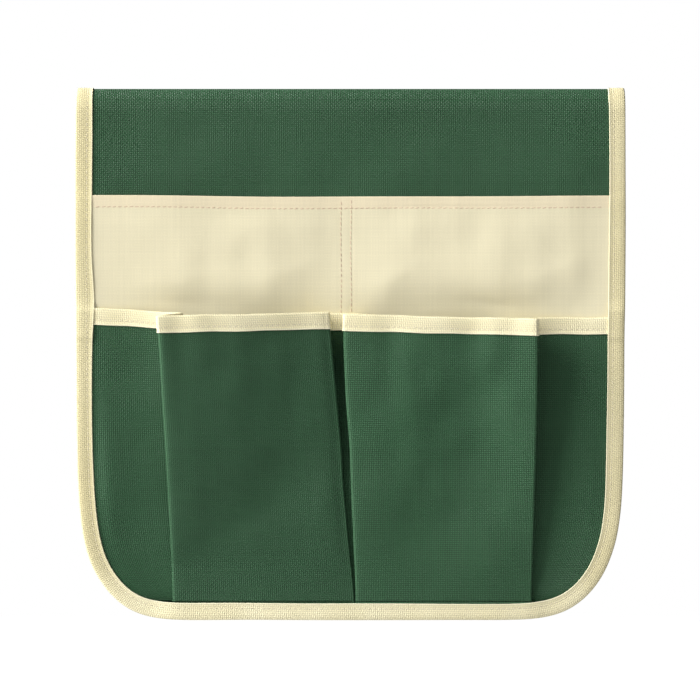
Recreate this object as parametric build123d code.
from build123d import *
import math
import os

# Garden tool bag that hangs on a round stool or kneeler tube.
# Frame: origin on the axis of the hanging sleeve, midway along it. +X runs along the
# tube, +Z is up and the pockets face -Y. Left is -X. Millimetres.

# ---------------------------------------------------------------- driving sizes
WIDTH = 320.0            # over the edge tape
BOTTOM = -295.4          # lower edge of the edge tape
CORNER_R = 60.0          # rounded bottom corners, over the tape
TAPE_W = 10.0            # visible width of the folded edge tape
TAPE_T = 0.6             # one layer of tape
CLOTH_T = 0.6            # coated green cloth
LINING_T = 0.5           # cream cloth of the upper pockets
TUBE_R = 12.7            # inner wall of the sleeve, for a 25.4 mm tube
THREAD_W = 0.5           # sewing thread, laid flat
THREAD_T = 0.25
EDGE_STITCH = 3.0        # thread of the edge and flap tapes, from the tape's inner edge
MOUTH_STITCH = 2.6       # thread of the pocket tapes, from the tape's lower edge

UPPER_MOUTH = -48.8      # mouth of the upper pockets
UPPER_BOW = 7.0          # how far the upper pockets stand off at the mouth
BOW_STEPS = 8            # spline intervals across an upper pocket
HEM_STITCH = -54.4
HEM_END_GAP = 0.5        # from the ends of the hem thread to the pocket sides
SEAM_XS = (-5.8, 0.0)    # the two rows of the centre seam
SEAM_MARGIN = 1.5        # from a seam row to the bowed cloth

LOWER_TOP = -113.5       # highest point of the pleated lower pocket cloth
FRONT_DEPTH = 17.0       # how far a lower pocket stands off at its mouth, at its outer pleat
INNER_DEPTH = 11.0       # the same at its inner pleat
FOLD_DEPTH = 7.4         # how far the hidden fold of an outer pleat stands off at the mouth
INNER_FOLD = 5.4         # the same for an inner pleat

FLAP_WRAP = 23.0         # degrees the flap follows the tube below its centre
FLAP_END = -98.0
FLAP_CORNER = 22.0       # rounded lower corners of the flap, over the tape
FLAP_START = 89.6        # degrees, where the flap begins beside the top of the sleeve
FLAP_THREAD_START = 72   # degrees, upper end of the flap tape thread

STRIP_L, STRIP_W = 110.0, 25.0  # hook and loop strips
STRIP_X = 22.0           # inner end of a strip, from the middle
STRIP_TOP = -61.0
LOOP_T, HOOK_T = 1.2, 1.0
STRIP_GAP = 0.1          # between hooks and loops
STRIP_STITCH = 2.0       # thread inset from the strip edges

# Bounds well clear of the bag, for cutting solids
FAR_X, FAR_Y, FAR_Z = 200.0, -60.0, -400.0

# ---------------------------------------------------------------- derived levels
HALF = WIDTH / 2
R_IN = TUBE_R + TAPE_T                   # inner face of the cloth around the tube
R_OUT = R_IN + CLOTH_T
R_TAPE = R_OUT + TAPE_T
Y_BACK = -R_IN                           # rear face of the back panel
Y_FRONT = -R_OUT                         # front face of the back panel
Y_LINING = Y_FRONT - LINING_T            # front face of the cream cloth where it lies flat
Y_STRIP = Y_LINING - TAPE_T              # rear face of the lower pocket cloth where flat
Y_STRIP_FRONT = Y_STRIP - CLOTH_T
EDGE = HALF - TAPE_T                     # cut edge of the cloth inside the tape
TAPE_EDGE = HALF - TAPE_W                # inner edge of the side tape
CLOTH_BOTTOM = BOTTOM + TAPE_T
SEAM_BOTTOM = BOTTOM + TAPE_W            # upper edge of the bottom tape
THREAD_INSET = TAPE_W - EDGE_STITCH - THREAD_W   # tape thread, from the tape's outer edge


# ---------------------------------------------------------------- helpers
def v(x, y, z):
    return Vector(x, y, z)


def polygon(points):
    return Face(Wire.make_polygon(points, close=True))


def block(x0, x1, y0, y1, z0, z1):
    return Pos((x0 + x1) / 2, (y0 + y1) / 2, (z0 + z1) / 2) * Box(x1 - x0, y1 - y0, z1 - z0)


def level_cut(z0, z1):
    """Everything between two levels."""
    return block(-FAR_X, FAR_X, FAR_Y, 20, z0, z1)


def outline(half, bottom, radius, top, y0, y1):
    """U-shaped outline with rounded lower corners, extruded along Y."""
    k = radius * (1 - math.cos(math.pi / 4))
    edges = [
        Edge.make_line(v(-half, y0, top), v(-half, y0, bottom + radius)),
        Edge.make_three_point_arc(
            v(-half, y0, bottom + radius),
            v(-half + k, y0, bottom + k),
            v(-half + radius, y0, bottom),
        ),
        Edge.make_line(v(-half + radius, y0, bottom), v(half - radius, y0, bottom)),
        Edge.make_three_point_arc(
            v(half - radius, y0, bottom),
            v(half - k, y0, bottom + k),
            v(half, y0, bottom + radius),
        ),
        Edge.make_line(v(half, y0, bottom + radius), v(half, y0, top)),
        Edge.make_line(v(half, y0, top), v(-half, y0, top)),
    ]
    return Solid.extrude(Face(Wire(edges)), v(0, y1 - y0, 0))


def body_outline(inset, top, y0, y1, gap=0.0):
    """Outline of the bag, inset from the tape's outer edge. gap shrinks it, not its corners."""
    return outline(HALF - inset - gap, BOTTOM + inset + gap, CORNER_R - inset, top, y0, y1)


def arc_band(r0, r1, a0, a1, x0, x1):
    """Part of a tube wall around the X axis. Angles in degrees from +Y towards +Z."""
    def at(r, angle):
        return v(x0, r * math.cos(math.radians(angle)), r * math.sin(math.radians(angle)))
    mid = (a0 + a1) / 2
    edges = [
        Edge.make_three_point_arc(at(r1, a0), at(r1, mid), at(r1, a1)),
        Edge.make_line(at(r1, a1), at(r0, a1)),
        Edge.make_three_point_arc(at(r0, a1), at(r0, mid), at(r0, a0)),
        Edge.make_line(at(r0, a0), at(r1, a0)),
    ]
    return Solid.extrude(Face(Wire(edges)), v(x1 - x0, 0, 0))


def save(name, *shapes):
    solids = [solid for shape in shapes for solid in shape.solids()]
    part = solids[0] if len(solids) == 1 else Compound(children=solids)
    part.label = name
    export_step(part, f"parts/{name}.step")


os.makedirs("parts", exist_ok=True)
cloth_bounds = body_outline(TAPE_T, 0, FAR_Y, 0)

# ---------------------------------------------------------------- back panel
# It continues over the front quarter of the tube, up to the top
back_panel = body_outline(TAPE_T, 0, Y_FRONT, Y_BACK) + arc_band(R_IN, R_OUT, 90, 180, -EDGE, EDGE)
save("back_panel", back_panel)

# ---------------------------------------------------------------- upper pocket cloth
# x range of each bowed pocket
POCKET_SPANS = (
    (-TAPE_EDGE, SEAM_XS[0] - SEAM_MARGIN),
    (SEAM_XS[1] + SEAM_MARGIN, TAPE_EDGE),
)


def bowed_rows(z, offset):
    """Points across each pocket at height z, offset forward of the cloth's rear face."""
    bow = UPPER_BOW * (z - SEAM_BOTTOM) / (UPPER_MOUTH - SEAM_BOTTOM)
    return [
        [
            v(
                x0 + (x1 - x0) * i / BOW_STEPS,
                Y_FRONT - offset - bow * math.sin(math.pi * i / BOW_STEPS),
                z,
            )
            for i in range(BOW_STEPS + 1)
        ]
        for x0, x1 in POCKET_SPANS
    ]


def lining_section(z, rear, front):
    """Closed section at height z, between two offsets forward of the cloth's rear face."""
    front_left, front_right = bowed_rows(z, front)
    rear_left, rear_right = bowed_rows(z, rear)
    y_front, y_rear = Y_FRONT - front, Y_FRONT - rear
    return Wire([
        Edge.make_line(v(-EDGE, y_front, z), front_left[0]),
        Edge.make_spline(front_left),
        Edge.make_line(front_left[-1], front_right[0]),
        Edge.make_spline(front_right),
        Edge.make_line(front_right[-1], v(EDGE, y_front, z)),
        Edge.make_line(v(EDGE, y_front, z), v(EDGE, y_rear, z)),
        Edge.make_line(v(EDGE, y_rear, z), rear_right[-1]),
        Edge.make_spline(rear_right[::-1]),
        Edge.make_line(rear_right[0], rear_left[-1]),
        Edge.make_spline(rear_left[::-1]),
        Edge.make_line(rear_left[0], v(-EDGE, y_rear, z)),
        Edge.make_line(v(-EDGE, y_rear, z), v(-EDGE, y_front, z)),
    ])


def lining_sheet(z0, z1, rear, front):
    sections = [lining_section(z, rear, front) for z in (z0, z1)]
    return Solid.make_loft(sections, True)


lining = lining_sheet(SEAM_BOTTOM, UPPER_MOUTH, 0.0, LINING_T)
lining = lining + block(-EDGE, EDGE, Y_LINING, Y_FRONT, CLOTH_BOTTOM, SEAM_BOTTOM)
save("upper_pocket_panel", lining & cloth_bounds)

hem = lining_sheet(
    HEM_STITCH - THREAD_W / 2, HEM_STITCH + THREAD_W / 2, LINING_T, LINING_T + THREAD_T
)
hem_end = TAPE_EDGE - HEM_END_GAP
save("upper_pocket_hem_stitching", hem & block(-hem_end, hem_end, FAR_Y, 0, FAR_Z, 0))

# The seam rows show between the lower pocket cloth and the hem thread
SEAM_LOW, SEAM_HIGH = LOWER_TOP + 2, HEM_STITCH - 0.6
save("centre_seam_stitching", *[
    block(
        x - THREAD_W / 2, x + THREAD_W / 2, Y_LINING - THREAD_T, Y_LINING, SEAM_LOW, SEAM_HIGH
    )
    for x in SEAM_XS
])

# ---------------------------------------------------------------- pleated lower pocket cloth
SHEET_TOP = LOWER_TOP + 4.0              # sheets are lofted to here, then cut to their top edges
PLEAT_BOTTOM = SEAM_BOTTOM + 0.5
CENTRE_TOP = -117.0                      # top of the centre panel
LAYER_GAP = 0.1                          # between layers sewn flat
FOLD_LIFT = 0.02                         # how far a hidden fold stands off at the bottom
TAPE_CLEAR = 0.02                        # from the side tapes to the cream cloth

MID_LOW = Y_STRIP_FRONT - LAYER_GAP      # rear face of the middle layer at the bottom
FRONT_LOW = MID_LOW - CLOTH_T - LAYER_GAP    # rear face of the outer layer at the bottom
FOLD_LOW = Y_STRIP - FOLD_LIFT           # hidden folds at the bottom

# Rear faces at SHEET_TOP
FOLD_Y = Y_STRIP - FOLD_DEPTH
INNER_FOLD_Y = Y_STRIP - INNER_FOLD
FRONT_Y = Y_STRIP - FRONT_DEPTH
INNER_Y = Y_STRIP - INNER_DEPTH
GUSSET_REAR_GAP = 1.6                    # gusset, forward of the hidden fold
GUSSET_FRONT_GAP = 2.2                   # gusset, behind the pocket front
OUTER_GUSSET_Y = (FOLD_Y - GUSSET_REAR_GAP, FRONT_Y + GUSSET_FRONT_GAP)
INNER_GUSSET_Y = (INNER_Y + GUSSET_FRONT_GAP, INNER_FOLD_Y - GUSSET_REAR_GAP)

# x of the hidden folds at the bottom
OUTER_FOLD_L, INNER_FOLD_L = -87.6, -16.5
INNER_FOLD_R, OUTER_FOLD_R = 19.0, 89.0

# Rear-face line of each pleated run: ends (x, y), (x, y) at PLEAT_BOTTOM, then at SHEET_TOP
PLEATS = {
    "left_outer_gusset": (
        ((OUTER_FOLD_L, MID_LOW), (-103.0, MID_LOW)),
        ((-98.6, OUTER_GUSSET_Y[0]), (-113.4, OUTER_GUSSET_Y[1])),
    ),
    "left_pocket_front": (
        ((-103.1, FRONT_LOW), (-1.0, FRONT_LOW)),
        ((-114.0, FRONT_Y), (-12.2, INNER_Y)),
    ),
    "left_inner_gusset": (
        ((-1.8, MID_LOW), (INNER_FOLD_L, MID_LOW)),
        ((-12.8, INNER_GUSSET_Y[0]), (-26.4, INNER_GUSSET_Y[1])),
    ),
    "right_inner_gusset": (
        ((4.8, MID_LOW), (INNER_FOLD_R, MID_LOW)),
        ((-5.0, INNER_GUSSET_Y[0]), (9.2, INNER_GUSSET_Y[1])),
    ),
    "right_pocket_front": (
        ((3.6, FRONT_LOW), (104.4, FRONT_LOW)),
        ((-6.2, INNER_Y), (108.6, FRONT_Y)),
    ),
    "right_outer_gusset": (
        ((OUTER_FOLD_R, MID_LOW), (104.3, MID_LOW)),
        ((92.8, OUTER_GUSSET_Y[0]), (108.0, OUTER_GUSSET_Y[1])),
    ),
}

# The same for the side panels, from SEAM_BOTTOM, then the x range of the flat cloth
SIDES = {
    "left": (
        ((-TAPE_EDGE, Y_STRIP), (OUTER_FOLD_L, FOLD_LOW)),
        ((-TAPE_EDGE, Y_STRIP), (-98.2, FOLD_Y)),
        (-FAR_X, OUTER_FOLD_L),
    ),
    "right": (
        ((OUTER_FOLD_R, FOLD_LOW), (TAPE_EDGE, Y_STRIP)),
        ((92.4, FOLD_Y), (TAPE_EDGE, Y_STRIP)),
        (OUTER_FOLD_R, FAR_X),
    ),
}

# Slanted top edge of each run: (x, z) at two points
TOPS = {
    "left_side_panel": ((-150.0, LOWER_TOP), (-98.0, -116.3)),
    "left_outer_gusset": ((-98.0, -116.3), (-114.0, -118.8)),
    "left_pocket_front": ((-114.0, -118.8), (-12.0, -116.5)),
    "left_inner_gusset": ((-12.0, -116.5), (-27.0, -117.2)),
    "right_inner_gusset": ((-6.0, -117.6), (9.0, -117.9)),
    "right_pocket_front": ((-6.2, -117.6), (108.6, -120.5)),
    "right_outer_gusset": ((92.0, -119.6), (108.6, -120.5)),
    "right_side_panel": ((92.0, -119.6), (150.0, -119.2)),
}


def panel(low, high, z_low, out=0.0, back=0.0, grow=0.0):
    """Cloth lofted from rear-face line low at z_low to line high at SHEET_TOP.

    out and back add thickness in front and behind, for tape and thread that lie on it.
    grow lengthens it at both ends.
    """
    def section(line, z):
        (xa, ya), (xb, yb) = line
        length = math.hypot(xb - xa, yb - ya)
        tx, ty = (xb - xa) / length, (yb - ya) / length
        nx, ny = ty, -tx
        if ny > 0:                       # the normal points forward
            nx, ny = -nx, -ny
        xa, ya = xa - tx * grow, ya - ty * grow
        xb, yb = xb + tx * grow, yb + ty * grow
        front, rear = CLOTH_T + out, -back
        return Wire.make_polygon([
            v(xa + nx * rear, ya + ny * rear, z),
            v(xb + nx * rear, yb + ny * rear, z),
            v(xb + nx * front, yb + ny * front, z),
            v(xa + nx * front, ya + ny * front, z),
        ], close=True)
    return Solid.make_loft([section(low, z_low), section(high, SHEET_TOP)], True)


def below(name, drop, depth=400):
    """Region of a run between drop and depth below its slanted top edge."""
    (xa, za), (xb, zb) = TOPS[name]
    slope = (zb - za) / (xb - xa)
    x0, x1 = -175.0, 175.0
    z0, z1 = za + slope * (x0 - xa), za + slope * (x1 - xa)
    corners = [(x0, z0 - drop), (x1, z1 - drop), (x1, z1 - depth), (x0, z0 - depth)]
    face = polygon([v(x, FAR_Y, z) for x, z in corners])
    return Solid.extrude(face, v(0, -FAR_Y, 0))


for name, (low, high) in PLEATS.items():
    save(name, panel(low, high, PLEAT_BOTTOM) & below(name, 0))

# Side panels lie flat at the outer edge, where the edge tape holds them
inside = body_outline(TAPE_W, 0, FAR_Y, 0, gap=0.05)
flat_border = cloth_bounds - body_outline(TAPE_W, 10, FAR_Y - 1, 1, gap=0.15)
for side, (low, high, (x0, x1)) in SIDES.items():
    name = f"{side}_side_panel"
    flat = flat_border & block(x0, x1, Y_STRIP_FRONT, Y_STRIP, FAR_Z, 0)
    sheet = (panel(low, high, SEAM_BOTTOM) & inside) + flat
    sheet = sheet & below(name, 0)
    save(name, sheet)
    tape = panel(low, high, SEAM_BOTTOM, out=TAPE_T, back=TAPE_T) & below(name, -TAPE_T, TAPE_W)
    tape = tape & inside & block(-FAR_X, FAR_X, FAR_Y, Y_LINING - TAPE_CLEAR, FAR_Z, 0)
    core = panel(low, high, SEAM_BOTTOM, grow=2.0) & below(name, 0)
    save(f"{side}_side_tape", tape - core - flat - sheet)


# Centre panel: from one hidden fold, in to the centre seam and out to the other
def flat_section(x0, x1, z):
    return Wire.make_polygon([
        v(x0, Y_STRIP_FRONT, z), v(x1, Y_STRIP_FRONT, z), v(x1, Y_STRIP, z), v(x0, Y_STRIP, z),
    ], close=True)


seam_x = sum(SEAM_XS) / 2
centre_left = panel(
    ((INNER_FOLD_L, FOLD_LOW), (0.5, Y_STRIP)),
    ((-26.4, INNER_FOLD_Y), (seam_x - 2, Y_STRIP)),
    SEAM_BOTTOM,
)
centre_right = panel(
    ((3.0, Y_STRIP), (INNER_FOLD_R, FOLD_LOW)),
    ((seam_x + 2, Y_STRIP), (9.2, INNER_FOLD_Y)),
    SEAM_BOTTOM,
)
centre_flat = Solid.make_loft([
    flat_section(-0.5, 4.0, SEAM_BOTTOM),
    flat_section(seam_x - 2.6, seam_x + 2.6, SHEET_TOP),
], True)
centre_foot = block(
    INNER_FOLD_L, INNER_FOLD_R, Y_STRIP_FRONT, Y_STRIP, CLOTH_BOTTOM, SEAM_BOTTOM
)
centre = centre_left + centre_flat + centre_right + centre_foot
save("centre_panel", centre & level_cut(FAR_Z, CENTRE_TOP))

# Tape over the mouth of each lower pocket, and its stitching
for side in ("left", "right"):
    name = f"{side}_pocket_front"
    low, high = PLEATS[name]
    wide = panel(low, high, PLEAT_BOTTOM, out=TAPE_T, back=TAPE_T)
    core = panel(low, high, PLEAT_BOTTOM, grow=2.0) & below(name, 0)
    save(f"{side}_pocket_tape", (wide & below(name, -TAPE_T, TAPE_W)) - core)
    thread = panel(
        low, high, PLEAT_BOTTOM,
        out=TAPE_T + THREAD_T, back=-(CLOTH_T + TAPE_T + 0.03), grow=-0.8,
    )
    depth = TAPE_W - MOUTH_STITCH
    save(f"{side}_pocket_tape_stitching", thread & below(name, depth - THREAD_W, depth))

# ---------------------------------------------------------------- edge tape of the body
# The tape steps forward where the cream cloth and then the lower pocket cloth begin
UPPER_STEP, LOWER_STEP = UPPER_MOUTH + 1.0, -112.0
# Front face of the cloth, lower level, upper level
TAPE_STEPS = (
    (Y_FRONT, UPPER_STEP, 0),
    (Y_LINING, LOWER_STEP, UPPER_STEP),
    (Y_STRIP_FRONT, BOTTOM - 1, LOWER_STEP),
)


def ring(y0, y1, z0, z1, inset0=0.0, inset1=TAPE_W):
    """Border of the body between two insets from its outer edge."""
    outer = body_outline(inset0, 5, y0, y1)
    inner = body_outline(inset1, 10, y0 - 1, y1 + 1)
    return (outer - inner) & level_cut(z0, z1)


upper, middle, lower = [ring(y - TAPE_T, Y_BACK + TAPE_T, z0, z1) for y, z0, z1 in TAPE_STEPS]
channel = (
    body_outline(TAPE_T, 5, Y_FRONT, Y_BACK)
    + (body_outline(TAPE_T, 5, Y_LINING, Y_FRONT) & level_cut(FAR_Z, UPPER_STEP - TAPE_T))
    + (body_outline(TAPE_T, 5, Y_STRIP_FRONT, Y_LINING) & level_cut(FAR_Z, LOWER_STEP - TAPE_T))
)
edge_tape = (upper + middle + lower) - channel
for sign in (-1, 1):
    x0, x1 = sorted((sign * HALF, sign * TAPE_EDGE))
    cloth_x0, cloth_x1 = sorted((sign * EDGE, sign * (TAPE_EDGE - 1)))
    wrap = arc_band(TUBE_R, R_TAPE, 90, 180, x0, x1)
    edge_tape = edge_tape + (wrap - arc_band(R_IN, R_OUT, 89, 181, cloth_x0, cloth_x1))
save("edge_tape", edge_tape)

save("edge_tape_stitching", *[
    ring(
        y - TAPE_T - THREAD_T, y - TAPE_T, z0 + 0.1, z1, THREAD_INSET, THREAD_INSET + THREAD_W
    )
    for y, z0, z1 in TAPE_STEPS
])

# ---------------------------------------------------------------- hanging flap
# The flap lies parallel to the back panel where the strips meet
Y_LOOP = Y_BACK + LOOP_T
Y_HOOK = Y_LOOP + STRIP_GAP
Y_FLAP = Y_HOOK + HOOK_T                 # front face of the flap where it hangs straight
R_MID = (R_IN + R_OUT) / 2               # middle surface of the flap around the tube
Y_MID = Y_FLAP + CLOTH_T / 2             # the same where it hangs straight
WRAP_COS = math.cos(math.radians(FLAP_WRAP))
WRAP_SIN = math.sin(math.radians(FLAP_WRAP))


def flap_slab(front, rear, z_end, half, start=FLAP_START):
    """Flap around the tube and down. front and rear are offsets from its middle surface."""
    r_in, r_out = R_MID - front, R_MID + rear
    y_in, y_out = Y_MID - front, Y_MID + rear

    def leave(r):
        """Where the flap leaves the tube, as (y, z)."""
        return (r * WRAP_COS, -r * WRAP_SIN)

    def bend(r, y):
        """Where the slanted run from radius r meets the vertical at y, as (y, z)."""
        length = (r * WRAP_COS - y) / WRAP_SIN
        return (y, -r * WRAP_SIN - length * WRAP_COS)

    arc = arc_band(r_in, r_out, -FLAP_WRAP, start, -half, half)
    points = [
        leave(r_in), bend(r_in, y_in), (y_in, z_end),
        (y_out, z_end), bend(r_out, y_out), leave(r_out),
    ]
    face = polygon([v(-half, y, z) for y, z in points])
    return arc + Solid.extrude(face, v(2 * half, 0, 0))


def flap_outline(inset):
    return outline(HALF - inset, FLAP_END + inset, FLAP_CORNER - inset, 40, -30, 30)


def flap_cloth(start=FLAP_START):
    slab = flap_slab(CLOTH_T / 2, CLOTH_T / 2, FLAP_END + TAPE_T, EDGE, start)
    return slab & flap_outline(TAPE_T)


save("hanging_flap", flap_cloth())

tape_face = CLOTH_T / 2 + TAPE_T         # outer face of the tape, from the middle surface
flap_tape = flap_slab(tape_face, tape_face, FLAP_END, HALF) & flap_outline(0)
save("flap_tape", flap_tape - flap_outline(TAPE_W) - flap_cloth(start=95))

# Thread on the rear face of the flap tape
thread = flap_slab(-tape_face, tape_face + THREAD_T, FLAP_END, HALF, FLAP_THREAD_START)
thread = (thread & flap_outline(THREAD_INSET)) - flap_outline(THREAD_INSET + THREAD_W)
save("flap_tape_stitching", thread)


# ---------------------------------------------------------------- hook and loop strips
def strip(sign, y0, y1, inset=0.0):
    x0, x1 = sorted((sign * (STRIP_X + inset), sign * (STRIP_X + STRIP_L - inset)))
    return block(x0, x1, y0, y1, STRIP_TOP - STRIP_W + inset, STRIP_TOP - inset)


def box_stitch(sign, y0, y1):
    """Rectangle of thread inside the edge of a strip."""
    return strip(sign, y0, y1, STRIP_STITCH) - strip(
        sign, y0 - 1, y1 + 1, STRIP_STITCH + THREAD_W
    )


for sign, side in ((-1, "left"), (1, "right")):
    save(f"{side}_loop_strip", strip(sign, Y_BACK, Y_LOOP))
    save(f"{side}_hook_strip", strip(sign, Y_HOOK, Y_FLAP))

# Thread of the loop strips shows on the front of the back panel, inside the upper pockets
save("loop_strip_stitching", *[box_stitch(s, Y_FRONT - THREAD_T, Y_FRONT) for s in (-1, 1)])
# Thread of the hook strips shows on the rear of the flap
Y_FLAP_REAR = Y_FLAP + CLOTH_T
save("hook_strip_stitching", *[
    box_stitch(s, Y_FLAP_REAR, Y_FLAP_REAR + THREAD_T) for s in (-1, 1)
])
